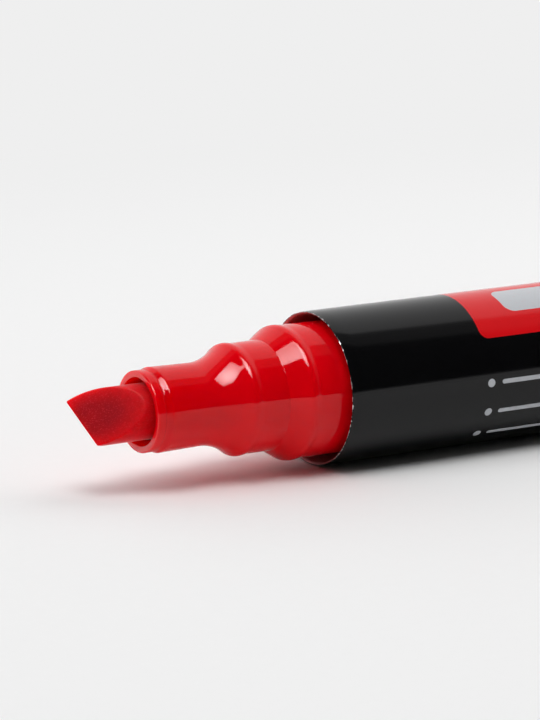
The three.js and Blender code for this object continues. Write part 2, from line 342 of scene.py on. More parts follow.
def inkedFelt(look, flats, flatLevels, radius):
    # Pressed felt soaked with ink: fibres along the marker, mottled wet and dry, with pale flecks of fibre.
    # A flat's normal and its level along that normal, in mm, give the depth below it: level - normal . place.
    # The flats are darker, partly with ink and partly with painted shade, and grow lighter towards the rod's
    # side.
    material, tree, shader, where = newMaterial("inkedFelt")
    mottled = noiseAt(tree, where, look["mottleScale"], 4.0, 0.6)
    colour = mixColours(tree, ramp(tree, mottled, 0.35, 0.68), look["wetColour"], look["dryColour"])
    depths = []
    for normal, level in zip(flats, flatLevels):
        reach = calculate(tree, "MULTIPLY", calculateVectors(tree, "DOT_PRODUCT", where, normal), 1 / mm)
        depths.append(calculate(tree, "SUBTRACT", float(level), reach))
    cut = ramp(tree, calculate(tree, "MINIMUM", depths[0], depths[1]), 0.0, look["cutDepth"], 1.0, 0.0)
    place = addNode(tree, "ShaderNodeSeparateXYZ", {0: where}).outputs
    outward = placeRoundAxis(tree, place)[2]
    # Painted shade: the flats' dark colour is deepest in their middle and fades out towards the rod's side.
    core = ramp(tree, outward, radius - look["rimWidth"], radius, 1.0, 0.0)
    uneven = ramp(tree, noiseAt(tree, where, look["cutUnevenScale"]), 0.3, 0.7, 0.75, 1.0)
    cut = calculate(tree, "MULTIPLY", calculate(tree, "MULTIPLY", cut, core), uneven)
    colour = mixColours(tree, cut, colour, look["cutInkAndShadeColour"])
    flecks = noiseAt(tree, stretched(tree, where, (0.5, 1.0, 1.0)), look["fleckScale"], 2.0)
    flecked = ramp(tree, flecks, 0.53, 0.70, 0.0, look["fleckShare"])
    fibres = noiseAt(tree, stretched(tree, where, (0.3, 1.0, 1.0)), look["grainScale"], 4.0, 0.65)
    addBump(tree, shader, fibres, look["grain"], look["grainDepth"])
    feedNode(tree, shader, {
        "Base Color": mixColours(tree, flecked, colour, look["fleckColour"]),
        "Roughness": ramp(tree, mottled, 0.3, 0.7, *look["roughness"]),
        "Specular IOR Level": look["specularLevel"],
        "Sheen Weight": look["fuzz"],
        "Sheen Roughness": look["fuzzRoughness"],
        "Sheen Tint": look["fuzzColour"],
        "Subsurface Weight": 1.0,
        "Subsurface Radius": look["glowRadius"],
        "Subsurface Scale": look["glowDepth"],
    })
    return material


# Barrel: aluminium tube, lacquered black outside, with the printed panel and three short lines of print
barrel = {
    "wall": 0.325,
    "edgeWall": 0.06,  # the wall is bevelled inside down to this at the cut ends
    "edgeBevel": 0.3,
    "edgeRound": 0.03,
    "bevelRound": 0.4,
    "rollLength": 1.8,  # the ends are rolled in very slightly
    "rollDepth": 0.05,
    "rollSteps": 12,
    "sides": 256,
    "lacquer": (0.0035, 0.0035, 0.004, 1),
    "lacquerRoughness": (0.085, 0.125),
    "smudgeScale": 60.0,
    "aluminium": (0.66, 0.66, 0.67, 1),
    "metalRoughness": (0.32, 0.46),
    "brushScale": 3000.0,
    "inside": (0.60, 0.34, 0.35, 1),
    "insideMetal": 0.6,
    "chipScale": 1500.0,
    "chipDepth": (-0.03, 0.12),  # the lacquer ends this far from a cut end
    "chipBlur": (0.005, 0.02),
    "wornRise": (-7.6, -6.6),  # below these heights from the axis the cut edge keeps its lacquer
    "insideBlur": 0.02,
    "drawn": 0.06,  # strength of the lines left by drawing the tube
    "drawnScale": 600.0,
    "drawnDepth": 0.00002,
    "refraction": 1.45,
    "specularLevel": 0.32,
    "red": (0.74, 0.007, 0.011, 1),
    "pale": (0.56, 0.58, 0.61, 1),
    "inkScale": 2500.0,
    "panelStart": 17.8,  # from the mouth
    "panelEnd": 84.0,
    "panelHalfAngle": 55.7,
    "panelCorner": 1.0,
    "fieldStart": 22.7,
    "fieldEnd": 70.0,
    "fieldFrom": 6.0,  # degrees from the top towards the camera
    "fieldTo": 35.0,
    "fieldCorner": 1.2,
    "dotAngles": (89.4, 112.8, 135.4),
    "dotAlong": (18.15, 18.19, 17.99),
    "dotRadius": 0.47,
    "lineStart": (19.6, 19.5, 19.3),
    "lineEnd": (43.0, 38.0, 47.0),
    "lineHeight": 0.5,
}


def printedShape():
    # Node group: 1 inside a rectangle with rounded corners, from the distance to its edge in mm.
    edgeBlur = 0.03
    group = bpy.data.node_groups.new("printedShape", "ShaderNodeTree")
    directions = (("Along", "Centre Along", "Half Length"), ("Around", "Centre Around", "Half Width"))
    for name in directions[0] + directions[1] + ("Corner",):
        group.interface.new_socket(name, in_out="INPUT", socket_type="NodeSocketFloat")
    group.interface.new_socket("Mask", in_out="OUTPUT", socket_type="NodeSocketFloat")
    given = group.nodes.new("NodeGroupInput").outputs
    beyond = []
    for at, centre, half in directions:
        apart = calculate(group, "ABSOLUTE", calculate(group, "SUBTRACT", given[at], given[centre]))
        inner = calculate(group, "SUBTRACT", given[half], given["Corner"])
        beyond.append(calculate(group, "MAXIMUM", calculate(group, "SUBTRACT", apart, inner), 0.0))
    squares = [calculate(group, "POWER", value, 2.0) for value in beyond]
    distance = calculate(group, "SQRT", calculate(group, "ADD", squares[0], squares[1]))
    distance = calculate(group, "SUBTRACT", distance, given["Corner"])
    result = group.nodes.new("NodeGroupOutput")
    group.links.new(ramp(group, distance, -edgeBlur, edgeBlur, 1.0, 0.0), result.inputs["Mask"])
    return group


def barrelFinish():
    # Gloss lacquer with print on the outside, bare metal on the chipped cut ends and a red-brown inside.
    material, tree, shader, where = newMaterial("barrelLacquer")
    place = addNode(tree, "ShaderNodeSeparateXYZ", {0: where}).outputs
    along = calculate(tree, "MULTIPLY", calculate(tree, "SUBTRACT", place["X"], mouth * mm), 1 / mm)
    across, rise, radius = placeRoundAxis(tree, place)
    around = calculate(tree, "MULTIPLY", calculate(tree, "ARCTAN2", across, rise), barrelRadius)
    shape = printedShape()

    def printed(start, end, lowAngle, highAngle, corner):
        low = math.radians(lowAngle) * barrelRadius
        high = math.radians(highAngle) * barrelRadius
        inputs = {
            "Along": along,
            "Around": around,
            "Centre Along": (start + end) / 2,
            "Centre Around": (low + high) / 2,
            "Half Length": (end - start) / 2,
            "Half Width": (high - low) / 2,
            "Corner": corner,
        }
        return addNode(tree, "ShaderNodeGroup", inputs, node_tree=shape).outputs["Mask"]

    half = barrel["panelHalfAngle"]
    panel = printed(barrel["panelStart"], barrel["panelEnd"], -half, half, barrel["panelCorner"])
    sides = (barrel["fieldStart"], barrel["fieldEnd"], barrel["fieldFrom"], barrel["fieldTo"])
    pale = printed(*sides, barrel["fieldCorner"])
    degree = math.degrees(1 / barrelRadius)  # one millimetre round the barrel
    lines = zip(barrel["dotAngles"], barrel["dotAlong"], barrel["lineStart"], barrel["lineEnd"])
    for angle, centre, start, end in lines:
        size = barrel["dotRadius"]
        dot = printed(centre - size, centre + size, angle - size * degree, angle + size * degree, size)
        size = barrel["lineHeight"] / 2
        line = printed(start, end, angle - size * degree, angle + size * degree, size)
        pale = calculate(tree, "MAXIMUM", pale, calculate(tree, "MAXIMUM", dot, line))
    inked = ramp(tree, noiseAt(tree, where, barrel["inkScale"]), 0.2, 0.5, 0.93, 1.0)
    colour = mixColours(tree, panel, barrel["lacquer"], barrel["red"])
    colour = mixColours(tree, calculate(tree, "MULTIPLY", pale, inked), colour, barrel["pale"])

    # The lacquer is chipped back unevenly from the cut ends, and the inside is coloured red-brown.
    chips = ramp(tree, noiseAt(tree, where, barrel["chipScale"], 4.0, 0.7), 0.42, 0.72, *barrel["chipDepth"])
    fromMouth = calculate(tree, "SUBTRACT", along, chips)
    fromTail = calculate(tree, "SUBTRACT", calculate(tree, "SUBTRACT", tail - mouth, along), chips)
    bare = ramp(tree, calculate(tree, "MINIMUM", fromMouth, fromTail), *barrel["chipBlur"], 1.0, 0.0)
    bare = calculate(tree, "MULTIPLY", bare, ramp(tree, rise, *barrel["wornRise"]))
    insideEdge = barrelRadius - barrel["rollDepth"] - barrel["edgeWall"]
    inside = ramp(tree, radius, insideEdge - barrel["insideBlur"], insideEdge, 1.0, 0.0)
    colour = mixColours(tree, bare, colour, barrel["aluminium"])
    bare = calculate(tree, "MULTIPLY", bare, calculate(tree, "SUBTRACT", 1.0, inside))
    metal = calculate(tree, "MULTIPLY", inside, barrel["insideMetal"])
    brushed = noiseAt(tree, stretched(tree, where, (0.06, 1.0, 1.0)), barrel["brushScale"])
    metalGloss = ramp(tree, brushed, 0.3, 0.7, *barrel["metalRoughness"])
    smudges = noiseAt(tree, where, barrel["smudgeScale"])
    lacquerGloss = ramp(tree, smudges, 0.35, 0.7, *barrel["lacquerRoughness"])
    matt = calculate(tree, "MAXIMUM", bare, inside)
    gloss = addNode(tree, "ShaderNodeMix", {0: matt, 2: lacquerGloss, 3: metalGloss})
    drawn = noiseAt(tree, stretched(tree, where, (0.05, 1.0, 1.0)), barrel["drawnScale"], 2.0)
    addBump(tree, shader, drawn, barrel["drawn"], barrel["drawnDepth"])
    feedNode(tree, shader, {
        "Base Color": mixColours(tree, inside, colour, barrel["inside"]),
        "Metallic": calculate(tree, "MAXIMUM", bare, metal),
        "Roughness": gloss.outputs[0],
        "IOR": barrel["refraction"],
        "Specular IOR Level": barrel["specularLevel"],
    })
    return material


def makeBarrel():
    # The outer radius falls towards an end by rollDepth * (1 - distance / rollLength)^2.
    inner, endRadius = barrelRadius - barrel["wall"], barrelRadius - barrel["rollDepth"]
    thin, bevel = endRadius - barrel["edgeWall"], barrel["edgeBevel"]
    share = np.linspace(0, 1, barrel["rollSteps"] + 1)[1:]
    rolled = barrelRadius - barrel["rollDepth"] * (1 - share) ** 2
    atMouth = np.column_stack([mouth + barrel["rollLength"] * share, rolled])
    atTail = np.column_stack([tail - barrel["rollLength"] * share, rolled])[::-1]
    first = [(mouth + bevel, inner), (mouth, thin), (mouth, endRadius)]
    last = [(tail, endRadius), (tail, thin), (tail - bevel, inner)]
    edge, bevelRound = barrel["edgeRound"], barrel["bevelRound"]
    rounds = [bevelRound, edge, edge] + [0] * (2 * len(share)) + [edge, edge, bevelRound]
    outline = heldRuns(softCorners(np.vstack([first, atMouth, atTail, last]), rounds), longest=3.0)
    tube = turnedRing("barrelTube", outline, barrel["sides"], "marker", barrelFinish())
    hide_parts("barrel_tube")


makeBarrel()
print("barrel made")


# Necks that the nose and the tail plug share. Each shoulder falls from a low crest bead to the next neck.
necks = {
    "recessDepth": 5.2,
    "wideRadius": 7.32,
    "sealRadius": 6.05,
    "beadHeight": 0.1,
    "beadLength": 0.9,
    "beadSteps": 9,
    "wideCrest": 3.9,
    "wideShoulder": {"slope": 32, "crestRound": 1.0, "hollowRound": 0.1},
    "arcSteps": 20,
    "plugRadius": 8.05,
    "cupRadius": 6.9,
    "cupFloor": 6.5,
    "cupRim": 12.5,
    "cupRound": 0.1,
    "recessRound": 0.25,
    "hollowRadius": 5.23,
}


def shoulder(crestAt, crestRadius, footRadius, form):
    # An arc over the crest, a straight slope, and a hollow arc that runs out level on the next neck. Each arc
    # turns by the slope s, so it is radius * sin(s) long and falls by radius * (1 - cos(s)).
    slope = math.radians(form["slope"])
    crestRound, hollowRound = form["crestRound"], form["hollowRound"]
    rounds = crestRound + hollowRound
    straightFall = crestRadius - footRadius - rounds * (1 - math.cos(slope))
    footAt = crestAt + rounds * math.sin(slope) + straightFall / math.tan(slope)
    turn = np.linspace(0, slope, necks["arcSteps"])
    crest = [crestAt + crestRound * np.sin(turn), crestRadius - crestRound * (1 - np.cos(turn))]
    turn = turn[::-1]
    hollow = [footAt - hollowRound * np.sin(turn), footRadius + hollowRound * (1 - np.cos(turn))]
    return np.hstack([crest, hollow]).T, footAt


def beadBehind(crestAt, neckRadius):
    # Half a cosine wave that rises from the neck to the crest.
    share = np.linspace(0, 1, necks["beadSteps"])[:-1]
    lift = necks["beadHeight"] * (1 - np.cos(math.pi * share)) / 2
    return np.column_stack([crestAt - necks["beadLength"] * (1 - share), neckRadius + lift])


def sealingNecks():
    # Wide neck, its bead and its shoulder, down to the seal neck. Distances run out of the barrel.
    bead = beadBehind(necks["wideCrest"], necks["wideRadius"])
    crestRadius = necks["wideRadius"] + necks["beadHeight"]
    fall, foot = shoulder(necks["wideCrest"], crestRadius, necks["sealRadius"], necks["wideShoulder"])
    return np.vstack([bead, fall]), foot


def pluggedCup():
    # The plug in the barrel and its cup for the reservoir, from the cup's floor to the recess's floor, and
    # the rounds of its corners.
    floorAt, rimAt = -necks["cupFloor"], -necks["cupRim"]
    corners = [
        (floorAt, necks["hollowRadius"]),
        (floorAt, necks["cupRadius"]),
        (rimAt, necks["cupRadius"]),
        (rimAt, necks["plugRadius"]),
        (-necks["recessDepth"], necks["plugRadius"]),
        (-necks["recessDepth"], necks["wideRadius"]),
    ]
    return corners, [necks["cupRound"]] * (len(corners) - 1) + [necks["recessRound"]]


# Nose: necks, lip and the ribbed bore that grips the nib
nose = {
    "sides": 264,
    "sealLength": 3.93,
    "sealShoulder": {"slope": 36, "crestRound": 0.9, "hollowRound": 6.2},
    "frontRadius": 4.52,
    "frontTaper": 0.11,
    "frontLength": 5.09,
    "grooveLength": 0.85,
    "grooveSlope": 0.55,
    "grooveDepth": 0.1,
    "lipLength": 0.95,
    "lipStep": 0.19,
    "boreRadius": 3.70,
    "boreEnd": 9.49,
    "hollowStart": 7.96,
    "frontRounds": (0.5, 0.35, 0.05, 0.1, 0.16, 0.14, 0.1, 0.1),  # from the groove round the lip and inside
    "ribs": 8,
    "ribTurn": 8,
    "ribFace": 3.15,
    "ribHalfAngle": 12.6,
    "ribFlank": (0.02, 0.03),  # radians inside and outside the half angle
    "ribSetback": 0.3,
    "ribRise": 0.3,  # lengths over which its two ends run out
    "ribFall": 0.25,
}


def noseOutline():
    outer, wideFoot = sealingNecks()
    sealCrest = wideFoot + nose["sealLength"]
    bead = beadBehind(sealCrest, necks["sealRadius"])
    crestRadius = necks["sealRadius"] + necks["beadHeight"]
    fall, sealFoot = shoulder(sealCrest, crestRadius, nose["frontRadius"], nose["sealShoulder"])
    stepAt = sealFoot + nose["frontLength"]
    grooveEnd = stepAt + nose["grooveLength"]
    lipAt = grooveEnd + nose["lipLength"]
    flared = nose["frontRadius"] + nose["frontTaper"]
    lipRadius = flared - nose["lipStep"]
    grooveRadius = lipRadius - nose["grooveDepth"]
    front = [
        (stepAt, flared),
        (stepAt + nose["grooveSlope"], grooveRadius),
        (grooveEnd - nose["grooveDepth"], grooveRadius),
        (grooveEnd, lipRadius),
        (lipAt, lipRadius),
        (lipAt, nose["boreRadius"]),
        (nose["boreEnd"], nose["boreRadius"]),
        (nose["hollowStart"], necks["hollowRadius"]),
    ]
    cup, cupRounds = pluggedCup()
    corners = np.vstack([cup, outer, bead, fall, front])
    rounds = cupRounds + [0] * (len(outer) + len(bead) + len(fall)) + list(nose["frontRounds"])
    return softCorners(corners, rounds), lipAt


def makeNose():
    outline, lipAt = noseOutline()
    material = mouldedPlastic("noseRed", mouldedLook, mouth - lipAt)
    outline = heldRuns(outline, longest=0.6)
    outline[:, 0] = mouth - outline[:, 0]

    def ribs(along, radius, angle):
        # Ribs in the bore: flat faces at the nib, which rise from the bore over a narrow flank and
        # fade out just inside the lip. The change is negative, towards the axis.
        pitch = 2 * math.pi / nose["ribs"]
        shifted = angle + math.radians(nose["ribTurn"]) + pitch / 2
        apart = np.abs(np.mod(shifted, pitch) - pitch / 2)
        edge, slack = math.radians(nose["ribHalfAngle"]), 0.01
        within, beyond = nose["ribFlank"]
        flank = 1 - smoothRise(apart, edge - within, edge + beyond)
        face = nose["ribFace"] / np.cos(np.minimum(apart, edge + beyond))
        out = mouth - along
        ribEnd = lipAt - nose["ribSetback"]
        length = smoothRise(out, nose["boreEnd"], nose["boreEnd"] + nose["ribRise"])
        length = length * (1 - smoothRise(out, ribEnd - nose["ribFall"], ribEnd))
        inBore = (radius < nose["boreRadius"] + slack) * length
        return inBore * flank * (face - nose["boreRadius"])

    piece = turnedRing("noseSection", outline, nose["sides"], "marker", material, ribs)
    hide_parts("nose_section")
    return lipAt


mouldedRed = mouldedPlastic("mouldedRed", mouldedLook)
lipOut = makeNose()
print("nose made")


# Nib: felt rod with two flats that meet in the slanted writing edge
nib = {
    "radius": 3.05,
    "reach": 7.22,  # from the lip to the edge's long end
    "slant": 14.4,
    "wedge": 35.2,
    "turn": -43.7,  # of the edge's long end, from straight up towards the camera
    "edgeShift": 0.89,
    "crispness": 48.0,
    "centreAhead": 2.6,  # the rays start this far outside the lip
    "bodyBehind": 0.2,  # and the straight rod ends this far inside it
    "tailAt": -18.8,
    "gripEnd": -15.8,
    "tailRadius": 1.4,
    "rodRounds": (0, 0.2, 0.4, 0, 0),
    "columns": 240,
    "rows": 230,
}


def makeNib():
    # The front is a surface of rays from a point on the axis. Along each ray w, the rod's side is reached at
    # radius / |w across| and a flat at (edge point . normal) / (w . normal). Their soft minimum, the power
    # sum of the reaches with a high negative power, gives the surface its slightly rounded edges. Rays,
    # flats and edge point are worked out with the edge's long end up, as (out of the barrel, sideways, up).
    centreOut = lipOut + nib["centreAhead"]
    bodyOut = lipOut - nib["bodyBehind"]
    slant, wedge, turn = [math.radians(nib[key]) for key in ("slant", "wedge", "turn")]
    pointUp = math.sqrt(nib["radius"] ** 2 - nib["edgeShift"] ** 2)
    point = np.array([lipOut + nib["reach"] - centreOut, -nib["edgeShift"], pointUp])
    away = np.array([math.cos(slant), 0, -math.sin(slant)])  # out of the rod, across the edge
    sideways = np.array([0, math.cos(wedge), 0])
    flats = np.array([math.sin(wedge) * away + sideways, math.sin(wedge) * away - sideways])
    angle = 2 * math.pi * np.arange(nib["columns"]) / nib["columns"]
    widest = math.pi - math.atan2(nib["radius"], centreOut - bodyOut)
    tilt = np.linspace(widest, 0, nib["rows"] + 1)[:-1, None]
    ray = np.stack([
        np.cos(tilt) + 0 * angle,
        np.sin(tilt) * np.sin(angle - turn),
        np.sin(tilt) * np.cos(angle - turn),
    ], axis=-1)
    power = nib["crispness"]
    flatReach = (flats @ point) / np.maximum(ray @ flats.T, tiny)
    sideReach = nib["radius"] / np.maximum(np.sin(tilt), tiny) + 0 * angle
    reach = np.concatenate([sideReach[..., None], flatReach], axis=-1)
    nearest = reach.min(axis=-1)
    distance = nearest * np.sum((reach / nearest[..., None]) ** -power, axis=-1) ** (-1 / power)
    front = aroundAxis(mouth - centreOut - distance * np.cos(tilt), distance * np.sin(tilt), angle[None, :])
    tipReach = np.sum(((flats @ point) / flats[:, 0]) ** -power) ** (-1 / power)
    corners = [(nib["tailAt"], 0), (nib["tailAt"], nib["tailRadius"]), (nib["gripEnd"], nib["radius"])]
    rod = softCorners(corners + [(bodyOut, nib["radius"]), (bodyOut, 0)], nib["rodRounds"])
    rod = heldRuns(rod[:-1], longest=1.5, ring=False)[1:-1]
    rodGrid = aroundAxis(mouth - rod[:, :1], rod[:, 1:], angle[None, :])
    grid = np.vstack([rodGrid, front])
    poles = np.array([[mouth - nib["tailAt"], 0, axisHeight], [mouth - centreOut - tipReach, 0, axisHeight]])
    points = np.vstack([grid.reshape(-1, 3), poles])
    quads, triangles = gridFaces(len(grid), nib["columns"], ring=False)
    # The flats' normals and levels in the frame, for the colour of the felt.
    normals = np.stack([
        -flats[:, 0],
        -flats[:, 1] * math.cos(turn) - flats[:, 2] * math.sin(turn),
        flats[:, 2] * math.cos(turn) - flats[:, 1] * math.sin(turn),
    ], axis=-1)
    levels = flats @ point - flats[:, 0] * (mouth - centreOut) + normals[:, 2] * axisHeight
    material = inkedFelt(feltLook, normals, levels, nib["radius"])
    piece = surfaceObject("chiselNib", points, quads, triangles, "marker", material)
    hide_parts("nib")


makeNib()
print("nib made")


# Tail plug with the spigot that holds the posted cap
tailPlug = {
    "sides": 200,
    "spigotLength": 4.6,
    "spigotRound": 0.8,
    "spigotWall": 1.4,
    "floorRound": 0.5,
}


def makeTailPlug(material):
    outer, foot = sealingNecks()
    spigotOut = foot + tailPlug["spigotLength"]
    floorAt = spigotOut - tailPlug["spigotWall"]
    cup, cupRounds = pluggedCup()
    corners = np.vstack([
        [(floorAt, 0), (floorAt, necks["hollowRadius"])],
        cup,
        outer,
        [(spigotOut, necks["sealRadius"]), (spigotOut, 0)],
    ])
    rounds = [0, tailPlug["floorRound"]] + cupRounds + [0] * len(outer) + [tailPlug["spigotRound"], 0]
    outline = heldRuns(softCorners(corners, rounds), longest=1.0, ring=False)
    outline[:, 0] += tail
    plug = turnedSolid("tailPlug", outline, tailPlug["sides"], "marker", material)
    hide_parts("tail_plug")


makeTailPlug(mouldedRed)
print("tail plug made")


# Cap: shell with its skirt, seal liner and clip
capLow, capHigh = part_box("cap_shell")
linerLow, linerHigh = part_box("cap_liner")
cap = {
    "sides": 256,
    "endWall": 1.6,
    "cavityRadius": 6.95,
    "skirtDepth": 4.0,
    "skirtRadius": 8.02,
    "skirtBore": 7.52,
    "dishRadius": 5.6,
    "dishDepth": 0.3,
    "rounds": (0, 0.4, 0.1, 0.1, 0.12, 0.12, 0.05, 0.25, 1.6, 0.2, 0.2, 0),  # of the shell's corners in turn
    "roundSteps": 11,
    "linerSides": 160,
    "linerWall": 0.6,
    "linerRadius": 6.85,
    "linerBore": 6.25,
    "linerRounds": (0, 0.5, 0.2, 0.1, 0.5, 0),
}

clip = {
    "width": 4.6,
    "thickness": 1.3,
    "standoff": 1.6,
    "length": 29.0,
    "rootLength": 4.5,
    "rootBlend": (1.2, 1.0),  # the root grows from this far before its start to this far after it
    "setback": 2.0,
    "bumpHeight": 0.8,
    "bumpLength": 3.0,
    "bumpBlend": (0.5, 1.6),  # the bump falls between these shares of its length
    "sink": 0.5,
    "tipDrop": 0.12,
    "tipLength": 6,
    "tipWidth": 0.86,
    "taperEnd": 0.8,
    "endRound": 1.1,
    "endClosing": 0.45,
    "superPower": 5.0,
    "firstTurn": 0.02,
    "rows": 220,
    "columns": 72,
}


def makeCapShell(material):
    skirtAt, endAt = capLow.x / mm, capHigh.x / mm
    mouthAt, linerAt = skirtAt + cap["skirtDepth"], linerLow.x / mm
    corners = [
        (endAt - cap["endWall"], 0),
        (endAt - cap["endWall"], cap["cavityRadius"]),
        (linerAt, cap["cavityRadius"]),
        (linerAt, cap["skirtBore"]),
        (skirtAt, cap["skirtBore"]),
        (skirtAt, cap["skirtRadius"]),
        (mouthAt, cap["skirtRadius"]),
        (mouthAt, barrelRadius),
        (endAt, barrelRadius),
        (endAt, cap["dishRadius"]),
        (endAt - cap["dishDepth"], cap["dishRadius"] - cap["dishDepth"]),
        (endAt - cap["dishDepth"], 0),
    ]
    outline = heldRuns(softCorners(corners, cap["rounds"], cap["roundSteps"]), longest=1.0, ring=False)
    shell = turnedSolid("capShell", outline, cap["sides"], "cap", material)
    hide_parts("cap_shell")


def clipLean():
    # Angle from straight up, towards the camera's side, at which the clip's lower edge lies on the table.
    top = barrelRadius + clip["standoff"] + clip["thickness"]
    reach = math.hypot(top, clip["width"] / 2)
    return math.pi - math.atan2(clip["width"] / 2, top) - math.acos(axisHeight / reach)


def makeClip(material):
    # A blade whose cross-section is a superellipse, nearly a rectangle. From the free end on, its underside
    # lies low at the bump, rises to the blade, and goes down into the shell at the root. Both ends close in
    # an elliptic curve.
    lean = clipLean()
    endAt = capHigh.x / mm - clip["setback"]
    length = clip["length"]
    turn = np.linspace(clip["firstTurn"], math.pi - clip["firstTurn"], clip["rows"])
    at = (1 - np.cos(turn)) / 2 * length
    blade = barrelRadius + clip["standoff"]
    top = blade + clip["thickness"]
    bumpFrom, bumpTo = [clip["bumpLength"] * share for share in clip["bumpBlend"]]
    bump = 1 - smoothRise(at, bumpFrom, bumpTo)
    rootAt, (before, after) = length - clip["rootLength"], clip["rootBlend"]
    root = smoothRise(at, rootAt - before, rootAt + after)
    low = blade - bump * clip["bumpHeight"] - root * (clip["standoff"] + clip["sink"])
    high = top - clip["tipDrop"] * (1 - smoothRise(at, 0, clip["tipLength"]))
    endRound = clip["endRound"]
    closing = np.sqrt(1 - np.clip(1 - at / endRound, 0, 1) ** 2)
    closing = closing * np.sqrt(1 - np.clip(1 - (length - at) / endRound, 0, 1) ** 2)
    widening = smoothRise(at, 0, length * clip["taperEnd"])
    wide = clip["width"] / 2 * (clip["tipWidth"] + (1 - clip["tipWidth"]) * widening)
    wide = wide - endRound * (1 - closing)
    middle = (low + high) / 2
    tall = (high - low) / 2 - endRound * clip["endClosing"] * (1 - closing)
    angle = 2 * math.pi * np.arange(clip["columns"]) / clip["columns"]
    power = 2 / clip["superPower"]
    across = wide[:, None] * np.sign(np.cos(angle)) * np.abs(np.cos(angle)) ** power
    height = middle[:, None] + tall[:, None] * np.sign(np.sin(angle)) * np.abs(np.sin(angle)) ** power
    along = endAt - length + at[:, None] + 0 * across
    ends = np.array([[endAt - length, 0, middle[0]], [endAt, 0, middle[-1]]])
    flat = np.vstack([np.stack([along, across, height], axis=-1).reshape(-1, 3), ends])
    points = np.stack([
        flat[:, 0],
        flat[:, 1] * math.cos(lean) - flat[:, 2] * math.sin(lean),
        axisHeight + flat[:, 1] * math.sin(lean) + flat[:, 2] * math.cos(lean),
    ], axis=-1)
    quads, triangles = [faces[:, ::-1] for faces in gridFaces(clip["rows"], clip["columns"], ring=False)]
    piece = surfaceObject("capClip", points, quads, triangles, "cap", material)
    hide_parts("cap_shell")


def makeLiner(material):
    openAt, closedAt = linerLow.x / mm, linerHigh.x / mm
    floorAt = closedAt - cap["linerWall"]
    corners = [
        (floorAt, 0),
        (floorAt, cap["linerBore"]),
        (openAt, cap["linerBore"]),
        (openAt, cap["linerRadius"]),
        (closedAt, cap["linerRadius"]),
        (closedAt, 0),
    ]
    outline = heldRuns(softCorners(corners, cap["linerRounds"]), longest=1.0, ring=False)
    liner = turnedSolid("capLiner", outline, cap["linerSides"], "cap", material)
    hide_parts("cap_liner")


linerLook = {
    **mouldedLook,
    "colour": (0.74, 0.74, 0.73, 1),
    "deepColour": (0.68, 0.68, 0.67, 1),
    "roughness": (0.38, 0.41),
    "specularLevel": 0.5,
    "waviness": 0.1,
    "glow": 0.1,
    "glowDepth": 0.0008,
}

makeCapShell(mouldedRed)
makeClip(mouldedRed)
makeLiner(mouldedPlastic("naturalPlastic", linerLook))
print("cap made")


# Reservoir: the CAD's own solids, with the look of a fibre bundle in a clear film
bundleLook = {
    "wetColour": (0.40, 0.010, 0.022, 1),
    "dryColour": (0.60, 0.05, 0.07, 1),
    "fibreScale": 4200.0,
    "grain": 0.6,
    "grainDepth": 0.0001,
    "roughness": 0.9,
}

filmLook = {
    "colour": (0.80, 0.80, 0.80, 1),
    "creaseColour": (0.72, 0.73, 0.74, 1),
    "creaseScale": 500.0,
    "roughness": (0.12, 0.25),
    "clearness": 0.85,
}


def fibreBundle(look):
    material, tree, shader, where = newMaterial("fibreBundle")
    fibres = noiseAt(tree, stretched(tree, where, (0.04, 1.0, 1.0)), look["fibreScale"], 3.0, 0.6)
    colour = mixColours(tree, ramp(tree, fibres, 0.35, 0.7), look["wetColour"], look["dryColour"])
    addBump(tree, shader, fibres, look["grain"], look["grainDepth"])
    feedNode(tree, shader, {"Base Color": colour, "Roughness": look["roughness"]})
    return material


def clearFilm(look):
    material, tree, shader, where = newMaterial("clearFilm")
    creases = noiseAt(tree, stretched(tree, where, (0.3, 1.0, 1.0)), look["creaseScale"])
    feedNode(tree, shader, {
        "Base Color": mixColours(tree, ramp(tree, creases, 0.35, 0.65), look["colour"], look["creaseColour"]),
        "Roughness": ramp(tree, creases, 0.3, 0.7, *look["roughness"]),
        "Transmission Weight": look["clearness"],
    })
    return material


for node, material in (("reservoir_core", fibreBundle(bundleLook)), ("reservoir_film", clearFilm(filmLook))):
    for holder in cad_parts[node].material_slots:
        holder.material = material
print("reservoir dressed")


# Table, light and camera
studio = {
    "backgroundLevel": 0.863,
    "floorSize": 12.0,
    "floorDrop": 0.02,
    "floorColour": 0.88,
    "floorShade": 0.985,
    "floorFibreScale": 700.0,
    "floorRoughness": 0.6,
    "plainFrom": 0.06,  # beyond this distance from the marker the table fades into the background,
    "plainTo": 0.2,  # and at this one it is all background
    "domeRadius": 2.5,
    "domeRows": 24,
    "domeColumns": 96,
    "domeTop": 0.995,
    "lampHeight": 0.9,
    # Outline of the softbox, at unit height over the nose.
    "lampCorners": ((0.36, -0.31), (0.12, -0.89), (-0.31, -0.75), (-0.66, -0.16), (-0.27, 0.24)),
    "lampRadiance": 22.0,
    "lampRimRadiance": 8.0,
    "lampFade": 0.5,
    # Wide soft lamps far away: azimuth, elevation and spread in degrees, and strength.
    "softLamps": ((180, 45, 45, 1.06), (240, 75, 32, 1.09), (0, 45, 45, 0.55), (90, 15, 40, 0.4)),
    "edgeDirection": (0.64, 0.77),  # the dark side of the room ends beyond this line overhead
    "edgeDistance": 0.43,
    "dimDistance": 0.14,  # between this line and the edge the room is dim, not dark
    "dimLevel": 0.18,
    "dimBlur": 0.03,
    "noseOut": 12,  # from the mouth to the nose's middle
}
noseMiddle = Vector(((mouth - studio["noseOut"]) * mm, 0, axisHeight * mm))

# Fitted to the photo, in metres
photoView = {
    "sensorWidth": 36,
    "lens": 204.05,
    "place": (-0.281865, -0.365397, 0.103786),
    "direction": (0.51894, 0.82918, -0.20774),
    "nearest": 0.01,
    "farthest": 100,
}


